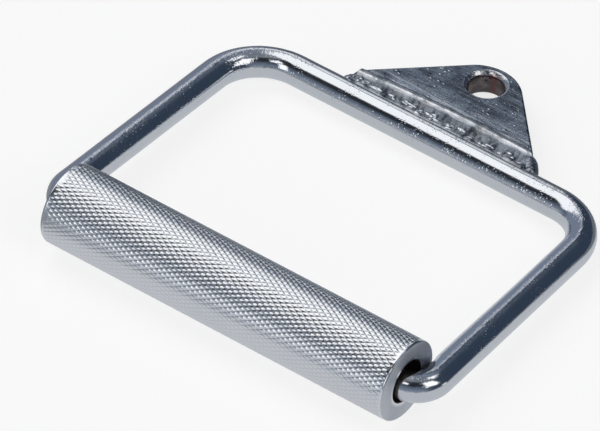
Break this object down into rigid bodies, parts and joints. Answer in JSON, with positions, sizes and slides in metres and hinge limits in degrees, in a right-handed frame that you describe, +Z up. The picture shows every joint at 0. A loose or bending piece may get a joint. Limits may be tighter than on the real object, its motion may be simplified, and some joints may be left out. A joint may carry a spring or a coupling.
{
  "type": "d handle",
  "caption": "Chromed steel pull handle: a closed loop of round bar with a knurled tube that spins on its front run and a welded eye plate for a snap hook at the back.",
  "frame": {"origin": "centre of the bounding box in plan, on the surface that the handle lies on", "axes": "+X along the grip tube, +Y from the grip tube to the eye, +Z up from the surface"},
  "size_m": [0.1556, 0.1552, 0.028],
  "materials": {
    "bar_chrome": "polished and plated round bar, fine specks under the plating",
    "plate_chrome": "plated over a ground plate, fine scratches and pits",
    "weld_chrome": "plated over a rippled weld bead",
    "grip_chrome": "plated over a fine diamond knurl, smooth turned ends"
  },
  "bodies": {
    "frame": {"frame_bar": "bar_chrome", "eye_plate": "plate_chrome", "top_weld": "weld_chrome", "bottom_weld": "weld_chrome"},
    "grip": {"grip_sleeve": "grip_chrome"}
  },
  "joints": [
    {"name": "grip_spin", "type": "hinge", "parent": "frame", "child": "grip", "pos_m": [0, -0.06362, 0.014], "axis": [1, 0, 0], "continuous": true}
  ]
}
